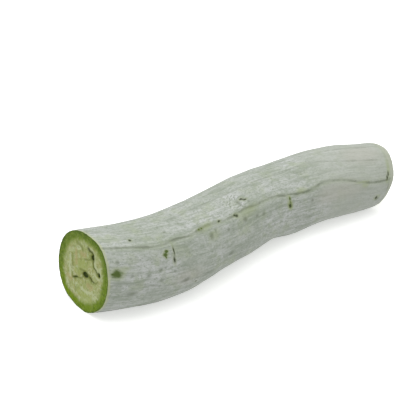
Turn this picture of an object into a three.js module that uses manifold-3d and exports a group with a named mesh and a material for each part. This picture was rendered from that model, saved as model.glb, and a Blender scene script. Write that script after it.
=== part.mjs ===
// A cut length of pale snake gourd, lying on its side.
// Millimetres, +Z up, +X from the near cut to the far cut.
// The origin is the centre of the bounding box's base, on the surface it lies on.

import * as THREE from 'three';
import Module from 'manifold-3d';
import { mergeVertices } from 'three/addons/utils/BufferGeometryUtils.js';

// ---- Driving dimensions -------------------------------------------------

const NEAR_END = -125;
const FAR_END = 125.5;

// Where the gourd swells and bends: [along, sideways, half height].
// It lies on its underside, so its middle is one half height above the surface.
const STATIONS = [
  [NEAR_END, 0, 27],
  [-100, -10, 27.5],
  [-70, -13, 27.5],
  [-30, -6, 26.5],
  [10, 3, 26],
  [45, 5, 25.8],
  [85, 2, 25.6],
  [107, -1, 23.8],
  [FAR_END, -1.5, 21.8],
];

// Low swells and hollows of the skin: where they are, how far they spread and how high.
const SWELLS = [
  { along: NEAR_END, degrees: 5, reachAlong: 30, reachDegrees: 35, height: 1.3 },
  { along: NEAR_END, degrees: 236, reachAlong: 30, reachDegrees: 22, height: -1.5 },
  { along: NEAR_END, degrees: 292, reachAlong: 6, reachDegrees: 10, height: -1.0 },
  { along: -30, degrees: 236, reachAlong: 26, reachDegrees: 22, height: -1.0 },
  { along: 20, degrees: 236, reachAlong: 12, reachDegrees: 22, height: -1.8 },
  { along: 42, degrees: 236, reachAlong: 12, reachDegrees: 22, height: 1.0 },
  { along: 75, degrees: 236, reachAlong: 18, reachDegrees: 22, height: -0.9 },
  { along: 100, degrees: 70, reachAlong: 14, reachDegrees: 40, height: 0.6 },
];

// The skin rolls in at the far end, where the cut has dried.
const FAR_ROUNDING = 3;
const FAR_ROUNDING_REACH = 9;

// The near end is a little oval and squarish, and evens out along the length.
const OVAL = { amount: 0.045, atDegrees: 120 };
const SQUARISH = { amount: 0.02, atDegrees: 48 };
const UNEVEN_REACH = 60;

// The knife cuts lean: positive leans the top towards +X, the turn is about the vertical.
const NEAR_CUT_LEAN_DEGREES = 6;
const FAR_CUT_LEAN_DEGREES = 19;
const FAR_CUT_TURN_DEGREES = 9;
const CUT_REACH = 45;

// The underside is pressed flat by the gourd's own weight.
const REST_DEPTH = 0.4;

// Seed hollows in the near cut face: place from the face's middle, half sizes, turn.
const SEED_HOLLOWS = [
  { sideways: -2.4, up: -0.8, halfWidth: 3.3, halfHeight: 1.9, turnDegrees: -12 },
  { sideways: -9.3, up: 14.2, halfWidth: 1.4, halfHeight: 1.7, turnDegrees: -10 },
  { sideways: -17.4, up: 5.5, halfWidth: 1.5, halfHeight: 1.5, turnDegrees: 0 },
];
const HOLLOW_DEPTH = 2;

const RINGS = 44;
const SIDES = 60;
const CUT_RINGS = 4;

// ---- The gourd's outer shape --------------------------------------------

const middleLine = new THREE.CatmullRomCurve3(
  STATIONS.map(([along, sideways, halfHeight]) => new THREE.Vector3(along, sideways, halfHeight)),
  false,
  'catmullrom',
  0.5,
);

const radians = THREE.MathUtils.degToRad;

function unevenness(along, angle) {
  const fade = Math.exp(-(((along - NEAR_END) / UNEVEN_REACH) ** 2));
  const oval = OVAL.amount * Math.cos(2 * (angle - radians(OVAL.atDegrees)));
  const squarish = SQUARISH.amount * Math.cos(4 * (angle - radians(SQUARISH.atDegrees)));
  return 1 + fade * (oval + squarish);
}

function swelling(along, angle) {
  let height = 0;
  for (const swell of SWELLS) {
    const u = (along - swell.along) / swell.reachAlong;
    const apart = THREE.MathUtils.radToDeg(angle) - swell.degrees;
    const v = (THREE.MathUtils.euclideanModulo(apart + 180, 360) - 180) / swell.reachDegrees;
    height += swell.height * Math.exp(-(u ** 2 + v ** 2));
  }
  return height;
}

function farRounding(along) {
  const t = THREE.MathUtils.clamp((along - FAR_END) / FAR_ROUNDING_REACH + 1, 0, 1);
  return FAR_ROUNDING * (1 - Math.sqrt(1 - t ** 2));
}

function cutLean(along, sideways, up) {
  const near = THREE.MathUtils.clamp(1 - (along - NEAR_END) / CUT_REACH, 0, 1) ** 2;
  const far = THREE.MathUtils.clamp(1 - (FAR_END - along) / CUT_REACH, 0, 1) ** 2;
  const nearLean = Math.tan(radians(NEAR_CUT_LEAN_DEGREES)) * up;
  const farLean = Math.tan(radians(FAR_CUT_LEAN_DEGREES)) * up;
  const farTurn = Math.tan(radians(FAR_CUT_TURN_DEGREES)) * sideways;
  return near * nearLean + far * (farLean + farTurn);
}

// A point on the slice at `progress` (0 to 1 along the gourd), at `angle` round it,
// `share` of the way from the slice's middle (0) to the skin (1).
function slicePoint(progress, angle, share) {
  const middle = middleLine.getPoint(progress);
  const heading = middleLine.getTangent(progress);
  const widening = Math.hypot(1, heading.y / heading.x);
  const skin = middle.z * unevenness(middle.x, angle) - farRounding(middle.x);
  const radius = (skin + swelling(middle.x, angle)) * share;
  const sideways = radius * widening * Math.cos(angle);
  const up = radius * Math.sin(angle);
  return new THREE.Vector3(
    middle.x + cutLean(middle.x, sideways, up),
    middle.y + sideways,
    Math.max(middle.z + up, REST_DEPTH) - REST_DEPTH,
  );
}

// Slices in order: out from the near cut's middle, along the skin, in to the far cut's middle.
function slices() {
  const list = [];
  for (let ring = 1; ring < CUT_RINGS; ring += 1) list.push([0, ring / CUT_RINGS]);
  for (let ring = 0; ring <= RINGS; ring += 1) list.push([ring / RINGS, 1]);
  for (let ring = CUT_RINGS - 1; ring > 0; ring -= 1) list.push([1, ring / CUT_RINGS]);
  return list;
}

function gourdGeometry() {
  const rings = slices();
  const points = [slicePoint(0, 0, 0)];
  for (const [progress, share] of rings) {
    for (let side = 0; side < SIDES; side += 1) {
      points.push(slicePoint(progress, (side / SIDES) * 2 * Math.PI, share));
    }
  }
  points.push(slicePoint(1, 0, 0));

  const at = (ring, side) => 1 + ring * SIDES + (side % SIDES);
  const last = points.length - 1;
  const index = [];
  for (let side = 0; side < SIDES; side += 1) {
    index.push(0, at(0, side + 1), at(0, side));
    index.push(last, at(rings.length - 1, side), at(rings.length - 1, side + 1));
    for (let ring = 0; ring < rings.length - 1; ring += 1) {
      const corner = [at(ring, side), at(ring, side + 1), at(ring + 1, side + 1), at(ring + 1, side)];
      index.push(corner[0], corner[1], corner[2], corner[0], corner[2], corner[3]);
    }
  }
  const geometry = new THREE.BufferGeometry().setFromPoints(points);
  geometry.setIndex(index);
  return geometry;
}

// ---- Seed hollows, cut from the near face --------------------------------

function hollowGeometry({ sideways, up, halfWidth, halfHeight, turnDegrees }) {
  const faceMiddle = slicePoint(0, 0, 0);
  const faceX = faceMiddle.x + cutLean(NEAR_END, sideways, up);
  const geometry = new THREE.SphereGeometry(1, 12, 8);
  geometry.scale(HOLLOW_DEPTH, halfWidth, halfHeight);
  geometry.rotateX(radians(turnDegrees));
  geometry.translate(faceX, faceMiddle.y + sideways, faceMiddle.z + up);
  return geometry;
}

// ---- Booleans -------------------------------------------------------------

const wasm = await Module();
wasm.setup();

function toSolid(geometry) {
  geometry.deleteAttribute('normal');
  geometry.deleteAttribute('uv');
  const merged = mergeVertices(geometry);
  return new wasm.Manifold(new wasm.Mesh({
    numProp: 3,
    vertProperties: new Float32Array(merged.attributes.position.array),
    triVerts: new Uint32Array(merged.index.array),
  }));
}

function toGeometry(solid) {
  const mesh = solid.getMesh();
  const geometry = new THREE.BufferGeometry();
  geometry.setAttribute('position', new THREE.BufferAttribute(mesh.vertProperties, 3));
  geometry.setIndex(new THREE.BufferAttribute(mesh.triVerts, 1));
  geometry.computeVertexNormals();
  return geometry;
}

function snakeGourd() {
  let solid = toSolid(gourdGeometry());
  for (const hollow of SEED_HOLLOWS) solid = solid.subtract(toSolid(hollowGeometry(hollow)));
  const geometry = toGeometry(solid);
  geometry.computeBoundingBox();
  const middle = geometry.boundingBox.getCenter(new THREE.Vector3());
  geometry.translate(-middle.x, -middle.y, -geometry.boundingBox.min.z);

  const skin = new THREE.MeshStandardMaterial({ color: 0xb4b9ac, roughness: 0.6, metalness: 0 });
  const mesh = new THREE.Mesh(geometry, skin);
  mesh.name = 'snake_gourd';
  return mesh;
}

const part = new THREE.Group();
part.add(snakeGourd());

export default part;
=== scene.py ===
import math
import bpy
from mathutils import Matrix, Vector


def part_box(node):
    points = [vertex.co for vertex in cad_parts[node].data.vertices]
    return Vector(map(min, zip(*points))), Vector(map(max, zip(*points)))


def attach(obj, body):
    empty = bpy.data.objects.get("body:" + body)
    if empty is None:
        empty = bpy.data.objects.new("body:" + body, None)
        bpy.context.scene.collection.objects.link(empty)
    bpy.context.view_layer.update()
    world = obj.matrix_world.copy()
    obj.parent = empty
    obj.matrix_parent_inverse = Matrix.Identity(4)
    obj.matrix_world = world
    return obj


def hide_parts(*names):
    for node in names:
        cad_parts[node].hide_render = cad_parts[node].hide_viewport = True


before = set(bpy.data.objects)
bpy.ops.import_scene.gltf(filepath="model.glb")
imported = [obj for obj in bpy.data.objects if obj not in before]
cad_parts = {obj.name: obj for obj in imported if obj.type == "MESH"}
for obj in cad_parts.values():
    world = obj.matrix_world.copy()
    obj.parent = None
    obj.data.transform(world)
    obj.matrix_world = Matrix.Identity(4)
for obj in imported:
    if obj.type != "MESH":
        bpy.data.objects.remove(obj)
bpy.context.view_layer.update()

from types import SimpleNamespace

import bpy
import numpy as np
from mathutils import Matrix, Vector, noise

# A cut length of pale snake gourd, lying on its side. The shape is worked out in
# millimetres along, across and up, as the CAD model's is, and then set into the CAD
# node's own box, which gives the scale and the place.

NODE = "snake_gourd"

# ---- Driving dimensions, the same as the CAD model's (millimetres) -------------------

NEAR_END, FAR_END = -125, 125.5
LENGTH = FAR_END - NEAR_END
STATIONS = (  # along, sideways, half height
    (NEAR_END, 0, 27),
    (-100, -10, 27.5),
    (-70, -13, 27.5),
    (-30, -6, 26.5),
    (10, 3, 26),
    (45, 5, 25.8),
    (85, 2, 25.6),
    (107, -1, 23.8),
    (FAR_END, -1.5, 21.8),
)
SWELLS = (  # along, degrees round, reach along, reach round in degrees, height
    (NEAR_END, 5, 30, 35, 1.3),
    (NEAR_END, 236, 30, 22, -1.5),
    (NEAR_END, 292, 6, 10, -1.0),
    (-30, 236, 26, 22, -1.0),
    (20, 236, 12, 22, -1.8),
    (42, 236, 12, 22, 1.0),
    (75, 236, 18, 22, -0.9),
    (100, 70, 14, 40, 0.6),
)
FAR_ROUNDING, FAR_ROUNDING_REACH = 3, 9
OVAL_AMOUNT, OVAL_DEGREES = 0.045, 120
SQUARISH_AMOUNT, SQUARISH_DEGREES = 0.02, 48
UNEVEN_REACH = 60
NEAR_CUT_LEAN, FAR_CUT_LEAN, FAR_CUT_TURN = 6, 19, 9  # degrees
CUT_REACH = 45
REST_DEPTH = 0.4

# ---- How finely the visual mesh is divided -------------------------------------------

RINGS = 300
SIDES = 260
NEAR_CUT_RINGS = 56
FAR_CUT_RINGS = 12
NEAR_RIM = NEAR_CUT_RINGS - 1  # which ring is each rim
FAR_RIM = NEAR_RIM + RINGS

# ---- Creases: they run the length of the gourd and turn slowly round it ---------------
# Each is a list of (millimetres along, degrees round), with 90 on top and 180 in front.

MAIN_CREASE = (
    (-127, 124), (-109, 127), (-90, 134), (-76, 132), (-66, 134), (-52, 131), (-34, 136),
    (-12, 135), (0, 138), (14, 139), (28, 145), (44, 150), (60, 145), (74, 149), (90, 160),
    (127, 166),
)
FAINT_CREASES = (
    ((-127, 174), (-118, 172), (-105, 178), (-91, 189), (-70, 194), (-50, 197)),
    ((-75, 101), (-30, 99), (5, 103), (33, 107), (46, 106), (65, 109), (78, 118), (94, 124),
     (110, 127)),
    ((-110, 142), (-103, 146)),
    ((78, 90), (108, 96)),
)
BACK_CREASES = 6
BACK_CREASE_START, BACK_CREASE_SPACING = -118, 27  # degrees round
BACK_CREASE_ENDS, BACK_CREASE_STEP = (-127, 127), 42
BACK_CREASE_WANDER = 5  # degrees either way
BACK_CREASE_WAVE = 31  # millimetres along for each radian of the wander
BACK_CREASE_PHASE = 2.3  # radians from one crease's wander to the next one's
GROWTH_TWIST = 38  # degrees from one end to the other
STRAIGHT_RADIUS = 26  # of the straightened gourd that patterns are laid on

# ---- Marks: (along, degrees round, half length, half width), in millimetres --------------
# Green and dark marks end with the depth of their pit.

GREEN_MARKS = (
    (-119.6, 157.5, 2.9, 2.6, 0.15),
    (-121.8, 157, 1.6, 0.9, 0.05),
    (-87, 146.5, 1.5, 1.3, 0.1),
    (-85.8, 143, 1.3, 1.0, 0.05),
    (-86.8, 150, 0.6, 1.0, 0),
    (-57.2, 131.5, 0.9, 0.7, 0.05),
    (-54.6, 131.5, 0.7, 0.6, 0.05),
    (28.3, 161.5, 1.6, 2.1, 0.25),
    (28.8, 151, 0.8, 1.5, 0.05),
    (28.4, 157, 0.5, 2.0, 0),
)
DARK_MARKS = (
    (-80.6, 145, 0.5, 2.7, 0.25),
    (-80.9, 150.5, 0.4, 1.6, 0.2),
    (-81.4, 156.5, 0.8, 2.1, 0.3),
    (-105, 117.5, 0.9, 0.8, 0.2),
    (-38.7, 133, 1.1, 0.7, 0.15),
    (-24, 135.5, 1.0, 0.7, 0.15),
    (-22.4, 137.5, 1.4, 1.0, 0.2),
    (-11.3, 119.5, 1.7, 0.7, 0.2),
    (-9.6, 121.3, 0.7, 0.6, 0.15),
    (-8.2, 123, 1.6, 0.6, 0.2),
    (-65, 202, 0.9, 0.6, 0.15),
    (117, 155, 0.7, 1.9, 0.3),
    (115.6, 161.5, 0.8, 1.9, 0.3),
    (107, 194.5, 1.4, 1.4, 0.15),
    (28.2, 162, 0.9, 1.5, 0),
)
SMUDGES = (
    (-56, 132, 2.6, 1.5),
    (-48.8, 146, 1.6, 2.4),
    (43, 150, 3.4, 0.8),
    (36, 149, 4.0, 0.6),
    (-44.5, 142, 0.8, 1.8),
    (-16, 147.5, 2.0, 1.5),
    (-15.3, 123, 1.7, 1.8),
    (-14.5, 127, 1.2, 1.0),
    (-6.5, 128, 1.4, 0.9),
    (-3.7, 152.5, 1.6, 1.0),
    (3, 155, 1.5, 1.3),
    (-33, 149, 1.4, 0.9),
    (-33, 185, 2.4, 1.4),
    (-14, 193, 0.9, 0.7),
    (-111, 190, 3.2, 2.0),
    (-118.4, 143, 1.0, 1.1),
    (-92, 164, 1.5, 1.3),
    (-88.6, 163, 0.9, 0.9),
    (-100.5, 168, 1.2, 1.4),
    (-111, 162.5, 1.1, 1.1),
    (-82, 172, 1.1, 0.9),
    (-92, 180, 1.8, 1.1),
    (-73.5, 191, 2.6, 1.4),
    (-81, 118, 1.1, 0.9),
    (48, 166, 1.4, 1.4),
    # this entry only greys the skin low on the front, near the near end
    (-100.5, 230, 4.5, 2.4),
    (117.6, 177, 0.6, 2.6),
    (109, 198, 2.4, 1.4),
)
YELLOW_MARKS = (
    (-52, 132.5, 7.0, 2.6),
    (-46, 146, 5.0, 3.2),
    (-12, 141, 9.0, 3.4),
    (28, 155, 2.4, 4.4),
    (41, 145.5, 4.0, 2.0),
    (93, 166, 3.4, 2.0),
    (92, 160, 6.0, 0.8),
    (118, 142, 2.0, 5.0),
    (110.5, 193, 1.4, 1.6),
    (-114, 152, 3.0, 1.8),
)
WARM_PATCHES = (
    (70, 166, 18.0, 7.0),
    (-72, 188, 12.0, 6.0),
    (100, 112, 16.0, 9.0),
)
SCABS = (
    (-20, 112, 8.0, 5.0),
    (-16, 126, 7.0, 5.0),
    (-27, 136, 5.0, 3.0),
)
BLOOMS = (
    (-66, 116, 14.0, 5.0),
    (-46, 118, 16.0, 6.0),
    (-20, 114, 10.0, 6.0),
    (36, 128, 14.0, 5.0),
    (-115, 180, 5.0, 3.5),
)
MARKS = {
    "green_mark": GREEN_MARKS,
    "dark_mark": DARK_MARKS,
    "smudge": SMUDGES,
    "yellow_mark": YELLOW_MARKS,
    "warm_patch": WARM_PATCHES,
    "scab": SCABS,
    "bloom": BLOOMS,
}

# ---- Cut faces: (across, up) from the middle, in millimetres ----------------------------
# A hollow is (across, up, half width, half height, turn in degrees, depth). Every other
# feature is a line: its half width, and then the points that it runs through.

NEAR_FACE = {
    "hollows": (
        (-2.4, -0.8, 3.3, 1.9, -12, 1.8),
        (-9.3, 14.2, 1.4, 1.7, -10, 1.8),
        (-17.4, 5.5, 1.5, 1.5, 0, 1.8),
    ),
    "crack": (
        (0.9, (-4.2, 18.1), (-5.6, 17.3)),
        (0.5, (-5.6, 17.3), (-8, 17.2), (-9.2, 16.4)),
        (0.9, (-9.2, 16.4), (-9.4, 14.5), (-10.3, 13.3)),
        (0.5, (-10.3, 13.3), (-10.2, 10.5), (-11.2, 8.2), (-14, 6.8), (-15.5, 5.2), (-17.4, 5.5)),
        (0.8, (-7.4, -0.6), (-8.6, -1.0), (-9.6, -1.9)),
        (0.4, (-9.6, -1.9), (-12, -2.1)),
        (0.5, (11.5, -8.6), (9, -7.2), (7, -6.3)),
    ),
    "white": (
        (1.3, (-6.7, 18.9), (-9.4, 18.5), (-11.4, 16.5), (-12.1, 13), (-13.4, 9.1),
         (-17.1, 7.2), (-19.2, 6.2)),
        (0.9, (-12, 4), (-14.5, 3), (-18, 2.5)),
        (1.0, (2, -12), (-4, -12.5), (-9, -11)),
        (1.0, (16, 6), (16.4, -2), (15, -9)),
    ),
    "streak": (
        (0.7, (-0.8, 9.6), (-4, 10.5), (-7.4, 12.2)),
        (1.1, (9.1, 17.1), (5.6, 17.2), (3.2, 16.8), (2.1, 15.3)),
        (1.6, (-7.4, 13.6), (-10.2, 14.6), (-8.4, 17)),
        (0.8, (13.3, 7.3), (12.9, 3), (12.6, -1)),
        (0.6, (-12, -2.1), (-15, -1.3), (-16.6, 0.8)),
        (0.6, (13, -8.2), (9, -7.4), (4.4, -5.8), (1.8, -4.8), (0, -3)),
        (0.6, (12.4, -5.6), (12.4, -7.6)),
        (0.8, (4, 0.5), (1, 1.2), (-2, 1.6)),
    ),
    "pink": (
        (1.2, (9.4, 11.8), (9.2, 7), (8.5, 2.5)),
        (2.0, (-9.5, -7), (-6.5, -7)),
        (2.0, (13.5, -10), (16.5, -10)),
        (1.6, (3, 12), (-1, 12)),
    ),
    "yellow": (
        (4.0, (-8.5, -16.4), (2, -16.4)),
        (2.6, (-1, 6), (4, 4)),
        (2.2, (5, -1), (9, -2)),
    ),
    "rim": ((0, 8), (90, 7), (140, 7.4), (180, 8), (240, 7), (315, 6), (360, 8)),
    "glow": ((0, 0.1), (60, 0.1), (120, 0), (160, 0.3), (200, 0.5), (270, 0.7), (315, 1),
             (345, 0.3), (360, 0.1)),
}
FAR_FACE = {
    "hollows": (
        (2, 1, 2.6, 1.4, -25, 3.0),
        (8, -7, 1.2, 1.8, 10, 2.5),
    ),
    "crack": (
        (0.6, (4, 1), (8, 4), (11, 4)),
        (0.5, (0, 0), (-5, -3), (-9, -3)),
    ),
    "white": ((0.9, (10, 6), (12, 1), (11, -6)),),
    "streak": ((0.8, (-8, 8), (-4, 10), (1, 9)),),
    "pink": ((2.0, (-6, 2), (-3, 5)),),
    "yellow": ((2.6, (-2, -9), (4, -10)),),
    "rim": ((0, 6), (90, 5), (180, 6), (270, 5), (360, 6)),
    "glow": ((0, 0.2), (180, 0.5), (360, 0.2)),
}
LINE_FEATURES = ("crack", "white", "streak", "pink", "yellow")

# ---- Camera ----------------------------------------------------------------------------

CAMERA_AZIMUTH, CAMERA_ELEVATION = -37, 28  # degrees
CAMERA_DISTANCE = 0.9  # metres
CAMERA_LENS, CAMERA_SENSOR = 113, 36
CAMERA_AIM = (-0.0109, 0.0287, 0.0246)


# ---- Shape -----------------------------------------------------------------------------

def catmull_rom(stations, progress):
    """Points at progress, 0 to 1, on the smooth curve through evenly counted stations."""
    points = np.array(stations, float)
    first = 2 * points[0] - points[1]
    last = 2 * points[-1] - points[-2]
    padded = np.vstack([first, points, last])
    spans = len(points) - 1
    span = np.clip(np.floor(progress * spans).astype(int), 0, spans - 1)
    w = (progress * spans - span)[..., None]
    p0, p1, p2, p3 = padded[span], padded[span + 1], padded[span + 2], padded[span + 3]
    return 0.5 * (
        2 * p1
        + (p2 - p0) * w
        + (2 * p0 - 5 * p1 + 4 * p2 - p3) * w**2
        + (3 * p1 - p0 - 3 * p2 + p3) * w**3
    )


def through(points, at):
    """The smooth line through (place, value) points, read at each place."""
    place, value = np.array(points, float).T
    slope = np.gradient(value, place)
    span = np.clip(np.searchsorted(place, at) - 1, 0, len(place) - 2)
    width = place[span + 1] - place[span]
    w = np.clip((at - place[span]) / width, 0, 1)
    return (
        (2 * w**3 - 3 * w**2 + 1) * value[span]
        + (w**3 - 2 * w**2 + w) * width * slope[span]
        + (3 * w**2 - 2 * w**3) * value[span + 1]
        + (w**3 - w**2) * width * slope[span + 1]
    )


def rumple(points, scale, offset=0.0):
    """Smooth noise from about -1 to 1 at each point, with features of 1 / scale."""
    scaled = np.asarray(points, float) * scale + offset
    flat = scaled.reshape(-1, 3)
    values = np.array([noise.noise(Vector(p)) for p in flat])
    return values.reshape(scaled.shape[:-1])


def tangent(degrees):
    return math.tan(math.radians(degrees))


def degrees_apart(degrees, other):
    return (degrees - other + 180) % 360 - 180


def cut_lean(along, across, up):
    near = np.clip(1 - (along - NEAR_END) / CUT_REACH, 0, 1) ** 2
    far = np.clip(1 - (FAR_END - along) / CUT_REACH, 0, 1) ** 2
    far_lean = tangent(FAR_CUT_LEAN) * up + tangent(FAR_CUT_TURN) * across
    return near * tangent(NEAR_CUT_LEAN) * up + far * far_lean


def swelling(along, degrees):
    """How far the swells lift the skin at each place."""
    lift = np.zeros(np.shape(along))
    for place, around, reach_along, reach_round, height in SWELLS:
        u = (along - place) / reach_along
        v = degrees_apart(degrees, around) / reach_round
        lift = lift + height * np.exp(-(u**2 + v**2))
    return lift


def far_rounding(along):
    """How far the skin rolls in at the far end."""
    t = np.clip((along - FAR_END) / FAR_ROUNDING_REACH + 1, 0, 1)
    return FAR_ROUNDING * (1 - np.sqrt(1 - t**2))


def skin_points(progress, angle, lift):
    """Points on the skin at progress along and angle round, raised by lift."""
    middle = catmull_rom(STATIONS, progress)
    step = 1e-4
    ahead = catmull_rom(STATIONS, np.clip(progress + step, 0, 1))
    behind = catmull_rom(STATIONS, np.clip(progress - step, 0, 1))
    heading = ahead - behind
    widening = np.hypot(1, heading[..., 1] / heading[..., 0])
    along = middle[..., 0]
    fade = np.exp(-(((along - NEAR_END) / UNEVEN_REACH) ** 2))
    oval = OVAL_AMOUNT * np.cos(2 * (angle - math.radians(OVAL_DEGREES)))
    squarish = SQUARISH_AMOUNT * np.cos(4 * (angle - math.radians(SQUARISH_DEGREES)))
    radius = middle[..., 2] * (1 + fade * (oval + squarish)) - far_rounding(along)
    radius = radius + swelling(along, np.degrees(angle)) + lift
    across = radius * widening * np.cos(angle)
    up = radius * np.sin(angle)
    height = np.maximum(middle[..., 2] + up, REST_DEPTH) - REST_DEPTH
    return np.stack([along + cut_lean(along, across, up), middle[..., 1] + across, height], -1)


# ---- Where the creases and marks are on the skin -----------------------------------------

MOST_CREASE_DISTANCE = 60.0
MOST_MARK_REACH = 6.0


def growth_turn(along):
    """Degrees that the gourd has twisted by each place along it."""
    return GROWTH_TWIST * (along - NEAR_END) / LENGTH


def back_creases():
    """Creases round the side that faces away, spaced out and wandering a little."""
    first, last = BACK_CREASE_ENDS
    creases = []
    for number in range(BACK_CREASES):
        start = BACK_CREASE_START + number * BACK_CREASE_SPACING
        waypoints = []
        for along in range(first, last + 1, BACK_CREASE_STEP):
            wave = math.sin(along / BACK_CREASE_WAVE + BACK_CREASE_PHASE * number)
            waypoints.append((along, start + growth_turn(along) + BACK_CREASE_WANDER * wave))
        creases.append(tuple(waypoints))
    return tuple(creases)


def below_crease(waypoints, along, degrees, radius):
    """Millimetres from this crease to each skin point, round the front and downwards."""
    return radius * np.radians(degrees_apart(degrees, through(waypoints, along)))


def crease_distance(creases, along, degrees, radius):
    """Millimetres from each skin point to the nearest of these creases."""
    nearest = np.full(along.shape, MOST_CREASE_DISTANCE)
    for waypoints in creases:
        sideways = below_crease(waypoints, along, degrees, radius)
        beyond = np.maximum(waypoints[0][0] - along, along - waypoints[-1][0])
        nearest = np.minimum(nearest, np.hypot(sideways, np.maximum(beyond, 0)))
    return nearest


def mark_reach(marks, along, degrees, radius):
    """0 in the middle of the nearest of these marks, 1 at its edge and more outside."""
    reach = np.full(along.shape, MOST_MARK_REACH)
    for place, around, half_length, half_width, *_ in marks:
        sideways = radius * np.radians(degrees_apart(degrees, around))
        here = np.hypot((along - place) / half_length, sideways / half_width)
        reach = np.minimum(reach, here)
    return reach


def bell(distance, reach=1):
    """1 at no distance, fading smoothly over reach."""
    return np.exp(-((distance / reach) ** 2))


def pit_depth(marks, along, degrees, radius):
    """How deep the pits of these marks are at each skin point."""
    depth = np.zeros(along.shape)
    for mark in marks:
        here = mark_reach((mark,), along, degrees, radius)
        depth = np.maximum(depth, mark[-1] * bell(here))
    return depth


LUMP_HEIGHT, LUMP_SCALE = 0.6, 1 / 34
DIMPLE_HEIGHT, DIMPLE_SCALE = 0.25, 1 / 13
RIB_HEIGHT, FAINT_RIB_HEIGHT, RIB_REACH = 1.3, 0.45, 7.5
CREASE_DEPTH, FAINT_CREASE_DEPTH, CREASE_REACH = 0.35, 0.175, 0.9
WRINKLE_HEIGHT, WRINKLE_SCALE, WRINKLE_STRETCH = 0.2, 0.55, 0.08


def skin_relief(straight, main, faint, places):
    """How far the skin stands out at each point: lumps, ribs, creases, wrinkles and pits."""
    lift = LUMP_HEIGHT * rumple(straight, LUMP_SCALE)
    lift += DIMPLE_HEIGHT * rumple(straight, DIMPLE_SCALE, offset=7)
    lift += RIB_HEIGHT * bell(main, RIB_REACH)
    lift += FAINT_RIB_HEIGHT * bell(faint, RIB_REACH)
    lift -= CREASE_DEPTH * bell(main, CREASE_REACH)
    lift -= FAINT_CREASE_DEPTH * bell(faint, CREASE_REACH)
    lift += WRINKLE_HEIGHT * rumple(straight * (WRINKLE_STRETCH, 1, 1), WRINKLE_SCALE, offset=3)
    for marks in (GREEN_MARKS, DARK_MARKS):
        lift -= pit_depth(marks, *places)
    return lift


def skin_fields():
    """Everything known about each point of the skin grid, as named arrays."""
    progress = np.linspace(0, 1, RINGS + 1)[:, None] * np.ones(SIDES)
    angle = np.ones(RINGS + 1)[:, None] * np.arange(SIDES) * 2 * math.pi / SIDES
    middle = catmull_rom(STATIONS, progress)
    along, radius = middle[..., 0], middle[..., 2]
    degrees = np.degrees(angle)
    places = along, degrees, radius
    turned = angle - np.radians(growth_turn(along))
    straight = np.stack([
        along,
        STRAIGHT_RADIUS * np.cos(turned),
        STRAIGHT_RADIUS * np.sin(turned),
    ], -1)
    main = crease_distance((MAIN_CREASE,), *places)
    faint = crease_distance(FAINT_CREASES + back_creases(), *places)
    return {
        "progress": progress,
        "angle": angle,
        "lift": skin_relief(straight, main, faint, places),
        "straight": straight,
        "main_crease": main,
        "faint_crease": faint,
        **{name: mark_reach(marks, *places) for name, marks in MARKS.items()},
        "below_crease": below_crease(MAIN_CREASE, *places),
        "from_below": np.abs(degrees_apart(degrees, 270)),
    }


# ---- Cut faces ---------------------------------------------------------------------------

CRACK_DEPTH = 0.8
HOLLOW_LIP = 1.15  # a hollow is at its full depth until its reach squared is this less 1
FACE_SINK, FACE_SINK_SHARE = 0.25, 0.15  # the flesh dries back just inside the rim
GRAIN_HEIGHT, GRAIN_SCALE = 0.25, 0.28
FINE_HEIGHT, FINE_SCALE = 0.08, 0.9
FACE_OFFSET = 9  # moves the far face's noise away from the near one's
FACES_APART = 40
MOST_LINE_REACH = 12.0


def hollow_reach(hollows, across, up):
    """How far each point is from the nearest hollow, as for a mark, and how deep it is."""
    reach = np.full(across.shape, MOST_MARK_REACH)
    depth = np.zeros(across.shape)
    for place, height, half_width, half_height, turn, deep in hollows:
        c, s = math.cos(math.radians(turn)), math.sin(math.radians(turn))
        u = (across - place) * c + (up - height) * s
        v = -(across - place) * s + (up - height) * c
        here = np.hypot(u / half_width, v / half_height)
        reach = np.minimum(reach, here)
        depth = np.maximum(depth, deep * np.clip(HOLLOW_LIP - here**2, 0, 1))
    return reach, depth


def line_reach(lines, across, up):
    """0 in the middle of the nearest of these lines, 1 at its edge and more outside."""
    nearest = np.full(across.shape, MOST_LINE_REACH)
    for half_width, *line in lines:
        for (ax, ay), (bx, by) in zip(line, line[1:]):
            run, rise = bx - ax, by - ay
            t = ((across - ax) * run + (up - ay) * rise) / (run**2 + rise**2)
            t = np.clip(t, 0, 1)
            distance = np.hypot(across - ax - t * run, up - ay - t * rise)
            nearest = np.minimum(nearest, distance / half_width)
    return nearest


def cut_face(end, rings, rim, face):
    """The rings of one cut face, from just inside its rim to near its middle.

    end is 0 for the near face and 1 for the far one.
    """
    share = (1 - np.arange(1, rings) / rings)[:, None] * np.ones(SIDES)
    centre = catmull_rom(STATIONS, np.array(float(end)))
    middle = np.array([centre[0], centre[1], centre[2] - REST_DEPTH])
    points = middle + (rim - middle) * share[..., None]
    across = points[..., 1] - middle[1]
    up = points[..., 2] - middle[2]
    flat = np.stack([across, up, 0 * up], -1)
    edge = np.hypot(rim[:, 1] - middle[1], rim[:, 2] - middle[2])
    around = np.arange(SIDES) * 360 / SIDES

    reach, depth = hollow_reach(face["hollows"], across, up)
    lines = {name: line_reach(face[name], across, up) for name in LINE_FEATURES}
    depth = np.maximum(depth, CRACK_DEPTH * bell(lines["crack"]))
    grain = rumple(flat, GRAIN_SCALE, offset=4 + FACE_OFFSET * end)
    fine = rumple(flat, FINE_SCALE, offset=1 + FACE_OFFSET * end)
    inside = np.clip((1 - share) / FACE_SINK_SHARE, 0, 1)
    depth += inside * (FACE_SINK + GRAIN_HEIGHT * grain + FINE_HEIGHT * fine)
    into = 1 - 2 * end
    points[..., 0] += into * depth
    return points, {
        "face_place": flat + (0, 0, FACES_APART * end),
        "rim_reach": edge / through(face["rim"], around) * (1 - share),
        "rim_glow": through(face["glow"], around) * np.ones(share.shape),
        "hollow": reach,
        **lines,
    }


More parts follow.
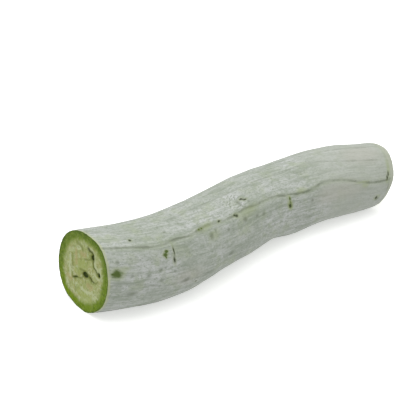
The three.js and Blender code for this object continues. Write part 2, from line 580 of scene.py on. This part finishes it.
# ---- Mesh --------------------------------------------------------------------------------

SKIN, FLESH = 0, 1
SKIN_FIELDS = ("straight", "main_crease", "faint_crease", *MARKS, "below_crease", "from_below")
FACE_FIELDS = ("face_place", "rim_reach", "rim_glow", "hollow", *LINE_FEATURES)
VECTOR_FIELDS = ("straight", "face_place")


def set_in_box(points, low, high):
    """Millimetre points, scaled and placed to fill the CAD node's box."""
    mine_low, mine_high = points.min(0), points.max(0)
    low, high = np.array(low), np.array(high)
    return low + (points - mine_low) * (high - low) / (mine_high - mine_low)


def grid_faces(rings):
    """The grid of point numbers, and the faces: quads, and a fan round each cut's middle."""
    grid = 1 + np.arange(rings * SIDES).reshape(rings, SIDES)
    right = np.roll(grid, -1, axis=1)
    quads = np.stack([grid[:-1], right[:-1], right[1:], grid[1:]], -1).reshape(-1, 4)
    last = rings * SIDES + 1
    first_fan = [(0, b, a) for a, b in zip(grid[0].tolist(), right[0].tolist())]
    last_fan = [(last, a, b) for a, b in zip(grid[-1].tolist(), right[-1].tolist())]
    return grid, first_fan + quads.tolist() + last_fan


def face_slots(rings):
    """Each face's material slot: skin between the rims and flesh inside them."""
    bands = np.arange(rings - 1)
    band_slot = np.where((bands >= NEAR_RIM) & (bands < FAR_RIM), SKIN, FLESH)
    fan = np.full(SIDES, FLESH)
    return np.concatenate([fan, np.repeat(band_slot, SIDES), fan]).astype(np.int32)


def write_skin_fields(mesh, skin):
    """Skin fields, which keep their rims' values over the cut faces."""
    for name in SKIN_FIELDS:
        values = skin[name]
        near = np.repeat(values[:1], NEAR_CUT_RINGS - 1, axis=0)
        far = np.repeat(values[-1:], FAR_CUT_RINGS - 1, axis=0)
        whole = np.concatenate([near, values, far])
        write_field(mesh, name, whole, values[0, 0], values[-1, 0])


def write_face_fields(mesh, near_fields, far_fields):
    """Cut-face fields, carried along the skin so that they are exact at both rims."""
    near_half = RINGS // 2
    for name in FACE_FIELDS:
        near, far = near_fields[name][::-1], far_fields[name]
        between = np.concatenate([
            np.repeat(near[-1:], near_half, axis=0),
            np.repeat(far[:1], RINGS + 1 - near_half, axis=0),
        ])
        if name == "rim_reach":
            between = 0 * between
        whole = np.concatenate([near, between, far])
        write_field(mesh, name, whole, near[0].mean(0), far[-1].mean(0))


def gourd_mesh():
    """The whole gourd: near cut face, skin and far cut face, in one closed mesh."""
    skin = skin_fields()
    surface = skin_points(skin["progress"], skin["angle"], skin["lift"])
    near, near_fields = cut_face(0, NEAR_CUT_RINGS, surface[0], NEAR_FACE)
    far, far_fields = cut_face(1, FAR_CUT_RINGS, surface[-1], FAR_FACE)
    rings = np.concatenate([near[::-1], surface, far])
    points = np.vstack([near[-1].mean(0), rings.reshape(-1, 3), far[-1].mean(0)])
    grid, faces = grid_faces(len(rings))

    mesh = bpy.data.meshes.new(NODE + "_skin")
    mesh.from_pydata(set_in_box(points, *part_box(NODE)).tolist(), [], faces)
    mesh.polygons.foreach_set("material_index", face_slots(len(rings)))
    mesh.shade_smooth()
    mark_rims_sharp(mesh, grid[NEAR_RIM], grid[FAR_RIM])
    write_skin_fields(mesh, skin)
    write_face_fields(mesh, near_fields, far_fields)
    mesh.validate()
    return mesh


def write_field(mesh, name, whole, first, last):
    """One point attribute, from the ring values and the two middle points' values."""
    kind, key = ("FLOAT_VECTOR", "vector") if name in VECTOR_FIELDS else ("FLOAT", "value")
    values = np.concatenate([np.ravel(first), whole.ravel(), np.ravel(last)])
    attribute = mesh.attributes.new(name, kind, "POINT")
    attribute.data.foreach_set(key, values.astype(np.float32))


def mark_rims_sharp(mesh, *rims):
    """Sharp edges between neighbours on the same rim, so that the cuts look crisp."""
    on_rim = np.zeros(len(mesh.vertices), int)
    for number, rim in enumerate(rims, 1):
        on_rim[rim] = number
    ends = np.empty(len(mesh.edges) * 2, int)
    mesh.edges.foreach_get("vertices", ends)
    ends = on_rim[ends.reshape(-1, 2)]
    sharp = (ends[:, 0] > 0) & (ends[:, 0] == ends[:, 1])
    attribute = mesh.attributes.new("sharp_edge", "BOOLEAN", "EDGE")
    attribute.data.foreach_set("value", sharp)


# ---- Material helpers ----------------------------------------------------------------------

def linear(red, green, blue):
    """A display colour, 0 to 255, as the shader's linear colour."""
    channels = []
    for value in (red, green, blue):
        v = value / 255
        channels.append(v / 12.92 if v <= 0.04045 else ((v + 0.055) / 1.055) ** 2.4)
    return (*channels, 1)


class Shader:
    """A material's node tree, with one short method for each kind of node it needs."""

    def __init__(self, name):
        self.material = bpy.data.materials.new(name)
        self.material.use_nodes = True
        self.tree = self.material.node_tree
        self.surface = self.tree.nodes["Principled BSDF"]

    def link(self, value, socket):
        if isinstance(value, bpy.types.NodeSocket):
            self.tree.links.new(value, socket)
        else:
            socket.default_value = value

    def field(self, name):
        made = self.tree.nodes.new("ShaderNodeAttribute")
        made.attribute_name = name
        return made.outputs["Vector" if name in VECTOR_FIELDS else "Fac"]

    def first_number(self, vector):
        made = self.tree.nodes.new("ShaderNodeSeparateXYZ")
        self.link(vector, made.inputs[0])
        return made.outputs["X"]

    def stretched(self, vector, stretch):
        made = self.tree.nodes.new("ShaderNodeVectorMath")
        made.operation = "MULTIPLY"
        self.link(vector, made.inputs[0])
        made.inputs[1].default_value = (stretch, 1, 1)
        return made.outputs[0]

    def noise(self, vector, scale, detail=3, roughness=0.55, distortion=0, stretch=1):
        """Noise with features of 1 / scale, longer along the gourd if stretch is under 1."""
        made = self.tree.nodes.new("ShaderNodeTexNoise")
        if stretch != 1:
            vector = self.stretched(vector, stretch)
        self.link(vector, made.inputs["Vector"])
        made.inputs["Scale"].default_value = scale
        made.inputs["Detail"].default_value = detail
        made.inputs["Roughness"].default_value = roughness
        made.inputs["Distortion"].default_value = distortion
        return made.outputs["Fac"]

    def math(self, operation, first, second=0.0):
        made = self.tree.nodes.new("ShaderNodeMath")
        made.operation = operation
        self.link(first, made.inputs[0])
        self.link(second, made.inputs[1])
        return made.outputs[0]

    def product(self, first, second):
        return self.math("MULTIPLY", first, second)

    def ramp(self, value, start, end, low=0.0, high=1.0):
        """low up to start, high from end on, and smooth between."""
        made = self.tree.nodes.new("ShaderNodeMapRange")
        made.interpolation_type = "SMOOTHSTEP"
        for socket, number in zip(made.inputs[:5], (value, start, end, low, high)):
            self.link(number, socket)
        return made.outputs["Result"]

    def wobbled(self, value, *wobbles):
        """value, pushed either way by noises that run from 0 to 1, each by its amount."""
        for wobble, amount in wobbles:
            centred = self.math("SUBTRACT", wobble, 0.5)
            value = self.math("ADD", value, self.product(centred, amount))
        return value

    def reach(self, name, *wobbles):
        """A field that says how far away a feature is, with a ragged edge."""
        return self.wobbled(self.field(name), *wobbles)

    def mix(self, factor, first, second):
        made = self.tree.nodes.new("ShaderNodeMix")
        made.data_type = "RGBA"
        self.link(factor, made.inputs["Factor"])
        self.link(first, made.inputs["A"])
        self.link(second, made.inputs["B"])
        return next(socket for socket in made.outputs if socket.type == "RGBA")

    def layers(self, colour, *rows):
        """colour under tones, each row saying (value, start, end, low, high, tone).

        The tone's strength is low where value is up to start, and high from end on.
        """
        for value, start, end, low, high, tone in rows:
            colour = self.mix(self.ramp(value, start, end, low, high), colour, tone)
        return colour

    def finished(self, colour, roughness, gloss, relief, relief_height):
        """The finished material. gloss is the same all over, so it sits on its socket."""
        self.link(colour, self.surface.inputs["Base Color"])
        self.link(roughness, self.surface.inputs["Roughness"])
        self.surface.inputs["Specular IOR Level"].default_value = gloss
        bump = self.tree.nodes.new("ShaderNodeBump")
        bump.inputs["Distance"].default_value = relief_height
        self.link(relief, bump.inputs["Height"])
        self.link(bump.outputs["Normal"], self.surface.inputs["Normal"])
        return self.material


# ---- Skin ------------------------------------------------------------------------------------

SILVER = linear(182, 188, 178)
BLOOM = linear(202, 205, 202)
GREY_GREEN = linear(146, 156, 138)
OLIVE_TINT = linear(166, 177, 146)
CREASE_GREY = linear(118, 125, 108)
BLEMISH_GREEN = linear(78, 98, 36)
BLEMISH_DARK = linear(50, 58, 36)
SMUDGE_GREY = linear(112, 120, 101)
YELLOWISH = linear(160, 172, 122)
FLECK_GREY = linear(124, 134, 116)
WARM_GREY = linear(185, 185, 173)
RIM_PALE = linear(188, 194, 156)
FAR_PALE = linear(188, 192, 174)
FAR_SMOOTH = linear(184, 189, 178)
# the next tone is painted shade for the skin's underside
UNDERSIDE_PAINTED_SHADE = linear(106, 112, 102)


CALM_ZONE = 45, 75  # where along the gourd its skin turns smoother
SKIN_GLOSS, SKIN_BUMP = 0.2, 0.001


def skin_patterns(s):
    place = s.field("straight")
    return SimpleNamespace(
        along=s.first_number(place),
        clouds=s.noise(place, 0.045, detail=4),
        tint=s.noise(place, 0.09, detail=5, roughness=0.6),
        mottle=s.noise(place, 0.22, detail=5, roughness=0.68, distortion=0.2),
        streaks=s.noise(place, 0.34, detail=5, roughness=0.65, stretch=0.16),
        fibres=s.noise(place, 0.8, roughness=0.6, stretch=0.07),
        speckle=s.noise(place, 1.0, detail=4, roughness=0.8, stretch=0.5),
        flecks=s.noise(place, 0.6, detail=2, roughness=0.5),
        breaks=s.noise(place, 0.16, detail=2),
    )


def skin_ground(s, p):
    """Silvery bloom over grey green, smoother at the far end, with painted shade on the
    underside.
    """
    return s.layers(
        SILVER,
        (p.clouds, 0.38, 0.62, 0, 1, BLOOM),
        (s.reach("bloom", (p.mottle, 1.4)), 0.4, 1.5, 0.5, 0, BLOOM),
        (p.tint, 0.48, 0.66, 0, 0.65, OLIVE_TINT),
        (p.mottle, 0.47, 0.66, 0, 0.36, GREY_GREEN),
        (p.fibres, 0.53, 0.62, 0, 0.45, GREY_GREEN),
        (p.fibres, 0.38, 0.46, 0.3, 0, BLOOM),
        (p.streaks, 0.52, 0.59, 0, 0.44, GREY_GREEN),
        (p.speckle, 0.51, 0.6, 0, 0.7, GREY_GREEN),
        (p.flecks, 0.64, 0.74, 0, 0.5, FLECK_GREY),
        (p.along, *CALM_ZONE, 0, 0.55, FAR_SMOOTH),
        # painted shade: the skin greys towards straight down, darkest at its underside
        (s.field("from_below"), 24, 46, 0.8, 0, UNDERSIDE_PAINTED_SHADE),
    )


def skin_patches(s, p, colour):
    """The greyer strip under the main crease, partly the skin's own tone and partly painted
    shade, warm patches, and scabs of pale and grey.
    """
    below = s.field("below_crease")
    # the strip below the main crease is partly the skin's greyer tone and partly painted shade of
    # the face turned down from the ridge
    under = s.product(s.ramp(below, -0.6, 1.2, 0, 0.18), s.ramp(below, 4, 24, 1, 0))
    under = s.product(under, s.ramp(p.along, *CALM_ZONE, 1, 0.2))
    colour = s.mix(under, colour, GREY_GREEN)
    warm = s.reach("warm_patch", (p.tint, 1.6))
    colour = s.layers(colour, (warm, 0.3, 1.5, 0.5, 0, WARM_GREY))
    scab = s.ramp(s.reach("scab", (p.mottle, 1.6)), 0.6, 1.3, 1, 0)
    pale = s.product(scab, s.ramp(p.speckle, 0.42, 0.5, 0.8, 0))
    grey = s.product(scab, s.ramp(p.speckle, 0.54, 0.62, 0, 0.8))
    return s.mix(grey, s.mix(pale, colour, BLOOM), FLECK_GREY)


def skin_creases(s, p, colour):
    """Thin grey lines, faint here and there, with an olive band along the main one."""
    broken = s.ramp(p.breaks, 0.36, 0.6, 0.35, 1)
    main = s.reach("main_crease", (p.mottle, 2.4), (p.speckle, 1.0))
    faint = s.reach("faint_crease", (p.mottle, 3.0), (p.speckle, 1.4))
    colour = s.layers(colour, (main, 0.2, 3.2, 0.3, 0, OLIVE_TINT))
    colour = s.mix(s.product(s.ramp(main, 0.2, 1.3, 0.74, 0), broken), colour, CREASE_GREY)
    return s.mix(s.product(s.ramp(faint, 0.1, 1.2, 0.36, 0), broken), colour, CREASE_GREY)


def skin_marks(s, p, colour):
    """Pale seeps, smudges, and green and dark marks with a yellowish edge."""
    yellow = s.reach("yellow_mark", (p.mottle, 1.6), (p.speckle, 0.8))
    smudge = s.reach("smudge", (p.mottle, 2.0), (p.speckle, 1.2))
    green = s.reach("green_mark", (p.speckle, 1.0), (p.mottle, 1.4))
    dark = s.reach("dark_mark", (p.speckle, 1.2))
    return s.layers(
        colour,
        (yellow, 0.2, 1.5, 0.42, 0, YELLOWISH),
        (smudge, 0.2, 1.6, 0.6, 0, SMUDGE_GREY),
        (green, 1.0, 2.2, 0.5, 0, YELLOWISH),
        (green, 0.5, 1.4, 0.95, 0, BLEMISH_GREEN),
        (dark, 1.2, 2.8, 0.35, 0, YELLOWISH),
        (dark, 0.4, 1.5, 0.95, 0, BLEMISH_DARK),
    )


def skin_edges(s, p, colour):
    """The pale edge that each cut leaves on the skin."""
    near = s.wobbled(p.along, (p.mottle, 1.6))
    far = s.wobbled(p.along, (p.mottle, 2.4))
    return s.layers(
        colour,
        (near, NEAR_END + 0.7, NEAR_END + 1.9, 0.75, 0, RIM_PALE),
        (far, FAR_END - 8.5, FAR_END - 7, 0, 0.2, YELLOWISH),
        (far, FAR_END - 7, FAR_END - 5, 0, 0.6, FAR_PALE),
    )


def skin_material():
    s = Shader("gourd_skin")
    p = skin_patterns(s)
    colour = skin_ground(s, p)
    for paint in (skin_patches, skin_creases, skin_marks, skin_edges):
        colour = paint(s, p, colour)
    roughness = s.ramp(p.mottle, 0.3, 0.7, 0.5, 0.66)
    relief = s.math("ADD", s.product(p.streaks, 0.7), s.product(p.speckle, 0.5))
    return s.finished(colour, roughness, SKIN_GLOSS, relief, SKIN_BUMP)


# ---- Flesh -----------------------------------------------------------------------------------

RIM_GREEN = linear(138, 158, 66)
RIM_DEEP = linear(104, 130, 32)
RIM_BRIGHT = linear(124, 152, 4)
RIM_EDGE = linear(74, 98, 20)
PALE_GREEN = linear(168, 182, 116)
FLESH_CREAM = linear(182, 188, 122)
FLESH_TAN = linear(178, 176, 112)
FLESH_WHITE = linear(206, 214, 170)
FLESH_PINK = linear(188, 176, 122)
FLESH_OLIVE = linear(122, 134, 56)
FLESH_SHADE = linear(136, 148, 84)
FLESH_YELLOW = linear(168, 182, 96)
# the next two tones are painted shade for the insides of the cracks and seed hollows
CRACK_PAINTED_SHADE = linear(66, 76, 34)
HOLLOW_PAINTED_SHADE = linear(46, 58, 20)
HOLLOW_GREEN = linear(96, 112, 52)


FLESH_GLOSS, FLESH_BUMP = 0.1, 0.0007


def flesh_patterns(s):
    place = s.field("face_place")
    return SimpleNamespace(
        broad=s.noise(place, 0.13),
        patches=s.noise(place, 0.22, detail=4, roughness=0.6, distortion=1.0),
        grain=s.noise(place, 0.5, detail=5, roughness=0.7, distortion=0.8),
        curds=s.noise(place, 0.42, roughness=0.6, distortion=0.5),
        fine=s.noise(place, 1.6, roughness=0.7),
    )


def flesh_ground(s, p):
    """Mottled pale flesh, with its tinted areas and olive streaks."""
    colour = s.layers(
        FLESH_CREAM,
        (p.grain, 0.4, 0.62, 0, 1, PALE_GREEN),
        (p.broad, 0.48, 0.62, 0, 0.7, FLESH_TAN),
        (p.patches, 0.5, 0.64, 0, 0.75, FLESH_WHITE),
        (p.curds, 0.53, 0.64, 0, 0.6, FLESH_SHADE),
        (p.curds, 0.36, 0.46, 0.45, 0, FLESH_WHITE),
        (p.fine, 0.52, 0.66, 0, 0.5, FLESH_OLIVE),
    )
    for name, wobble, strength, tone in (
        ("yellow", (p.patches, 2.4), 0.45, FLESH_YELLOW),
        ("pink", (p.patches, 2.4), 0.6, FLESH_PINK),
        ("white", (p.grain, 1.6), 0.7, FLESH_WHITE),
        ("streak", (p.grain, 1.6), 0.65, FLESH_OLIVE),
    ):
        colour = s.layers(colour, (s.reach(name, wobble), 0.5, 1.5, strength, 0, tone))
    return colour


def flesh_rim(s, p, colour):
    """A pale ring, then green that deepens outwards, dappled, with a dark outer edge."""
    rim = s.reach("rim_reach", (p.patches, 0.7), (p.grain, 0.6))
    ring = s.product(s.ramp(rim, 0.7, 1.05, 0, 0.15), s.ramp(rim, 1.1, 1.7, 1, 0))
    colour = s.layers(
        s.mix(ring, colour, FLESH_WHITE),
        (rim, 0.5, 1.2, 1, 0, RIM_GREEN),
        (rim, 0.2, 0.95, 1, 0, RIM_DEEP),
    )
    glow = s.product(s.field("rim_glow"), s.ramp(rim, 0.5, 0.95, 1, 0))
    colour = s.mix(glow, colour, RIM_BRIGHT)
    inside = s.ramp(rim, 0.6, 1.0, 1, 0)
    light = s.product(s.ramp(p.patches, 0.5, 0.62, 0, 0.5), inside)
    dapple = s.product(s.ramp(p.grain, 0.48, 0.6, 0, 0.55), inside)
    colour = s.mix(dapple, s.mix(light, colour, RIM_GREEN), RIM_EDGE)
    return s.layers(colour, (rim, 0.02, 0.2, 0.7, 0, RIM_EDGE))


def flesh_openings(s, p, colour):
    """Cracks and seed hollows, with painted shade inside them and olive round about."""
    crack = s.reach("crack", (p.fine, 1.0), (p.grain, 1.2))
    hollow = s.reach("hollow", (p.fine, 0.5))
    return s.layers(
        colour,
        (crack, 1.0, 3.6, 0.5, 0, FLESH_OLIVE),
        # painted shade inside the cracks
        (crack, 0.3, 1.7, 0.7, 0, CRACK_PAINTED_SHADE),
        (hollow, 1.0, 1.9, 0.6, 0, FLESH_OLIVE),
        # painted shade inside the seed hollows
        (hollow, 0.85, 1.1, 0.95, 0, HOLLOW_PAINTED_SHADE),
        (hollow, 0.4, 0.8, 0.75, 0, HOLLOW_GREEN),
    )


def flesh_material():
    s = Shader("gourd_flesh")
    p = flesh_patterns(s)
    colour = flesh_openings(s, p, flesh_rim(s, p, flesh_ground(s, p)))
    roughness = s.ramp(p.grain, 0.3, 0.7, 0.4, 0.58)
    relief = s.math("ADD", p.grain, s.product(p.fine, 0.4))
    return s.finished(colour, roughness, FLESH_GLOSS, relief, FLESH_BUMP)


# ---- The piece -------------------------------------------------------------------------------

def make_gourd():
    gourd = bpy.data.objects.new("snake_gourd_visual", gourd_mesh())
    bpy.context.scene.collection.objects.link(gourd)
    gourd.data.materials.append(skin_material())
    gourd.data.materials.append(flesh_material())
    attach(gourd, "root")
    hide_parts(NODE)


# ---- Floor, light and camera -------------------------------------------------------------------

WHITE = (1, 1, 1, 1)
FLOOR_SIZE = 40
FLOOR_PALE = (0.94, 0.94, 0.94, 1)
FLOOR_GLOW = 0.45
WORLD_STRENGTH = 0.74
TOP_LIGHT_POWER = 18
TOP_LIGHT_SIZE = 2.0
TOP_LIGHT_PLACE = (0.05, 0.1, 1.9)


def make_floor():
    half = FLOOR_SIZE / 2
    corners = [(-half, -half, 0), (half, -half, 0), (half, half, 0), (-half, half, 0)]
    mesh = bpy.data.meshes.new("floor")
    mesh.from_pydata(corners, [], [(0, 1, 2, 3)])
    floor = bpy.data.objects.new("floor", mesh)
    bpy.context.scene.collection.objects.link(floor)
    paper = bpy.data.materials.new("floor_paper")
    paper.use_nodes = True
    surface = paper.node_tree.nodes["Principled BSDF"]
    surface.inputs["Base Color"].default_value = FLOOR_PALE
    surface.inputs["Roughness"].default_value = 1
    surface.inputs["Specular IOR Level"].default_value = 0
    surface.inputs["Emission Color"].default_value = WHITE
    surface.inputs["Emission Strength"].default_value = FLOOR_GLOW
    mesh.materials.append(paper)
    floor.visible_diffuse = False  # its glow whitens the paper and doesn't light the gourd
    floor.visible_glossy = False


def make_light():
    scene = bpy.context.scene
    world = bpy.data.worlds.new("studio")
    world.use_nodes = True
    background = world.node_tree.nodes["Background"]
    background.inputs["Color"].default_value = WHITE
    background.inputs["Strength"].default_value = WORLD_STRENGTH
    scene.world = world
    lamp = bpy.data.lights.new("top_light", "AREA")
    lamp.energy = TOP_LIGHT_POWER
    lamp.size = TOP_LIGHT_SIZE
    top = bpy.data.objects.new("top_light", lamp)
    top.location = TOP_LIGHT_PLACE
    top.rotation_euler = (-Vector(TOP_LIGHT_PLACE)).to_track_quat("-Z", "Y").to_euler()
    scene.collection.objects.link(top)
    scene.view_settings.view_transform = "Standard"


def make_camera():
    azimuth, elevation = math.radians(CAMERA_AZIMUTH), math.radians(CAMERA_ELEVATION)
    back = Vector((
        math.sin(azimuth) * math.cos(elevation),
        -math.cos(azimuth) * math.cos(elevation),
        math.sin(elevation),
    ))
    data = bpy.data.cameras.new("camera")
    data.lens = CAMERA_LENS
    data.sensor_width = CAMERA_SENSOR
    camera = bpy.data.objects.new("camera", data)
    turn = (-back).to_track_quat("-Z", "Y").to_matrix().to_4x4()
    camera.matrix_world = Matrix.Translation(Vector(CAMERA_AIM) + CAMERA_DISTANCE * back) @ turn
    bpy.context.scene.collection.objects.link(camera)
    bpy.context.scene.camera = camera


make_camera()
make_gourd()
make_floor()
make_light()
